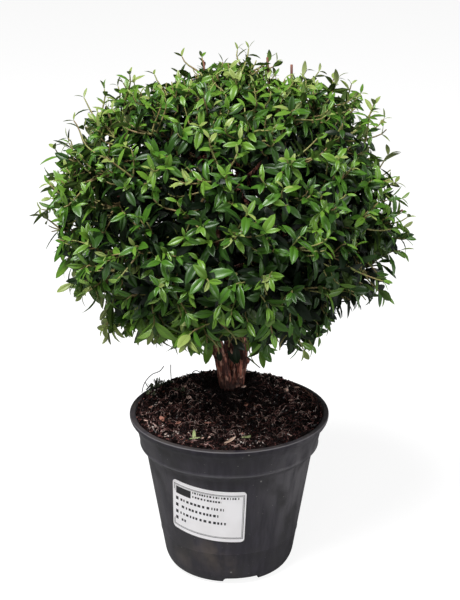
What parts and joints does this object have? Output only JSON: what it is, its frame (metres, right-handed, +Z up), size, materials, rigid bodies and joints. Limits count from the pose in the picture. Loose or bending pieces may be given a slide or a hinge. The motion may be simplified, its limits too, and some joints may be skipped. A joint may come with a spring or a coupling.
{
  "type": "potted lollipop topiary",
  "caption": "Small-leaved evergreen clipped to a dome on a short forked trunk, standing in a round nursery pot filled with potting soil.",
  "frame": {"origin": "middle of the pot's flat underside, on the pot's axis", "axes": "+Z up along the pot's axis, -Y towards the side with the label, +X to the right when facing the label"},
  "size_m": [0.2691, 0.274, 0.3988],
  "materials": {
    "pot_plastic": "smooth black moulded plastic, slightly dusty",
    "label_paper": "white coated label",
    "soil": "dark crumbly peat with pale fibres and bark chips",
    "bark": "reddish-brown fibrous bark",
    "foliage": "glossy dark green leaves with paler young tips"
  },
  "bodies": {
    "root": {"pot": "pot_plastic", "label": "label_paper", "potting_soil": "soil", "trunk": "bark", "stem_left": "bark", "stem_right": "bark", "stem_middle": "bark", "crown": "foliage"}
  },
  "joints": []
}
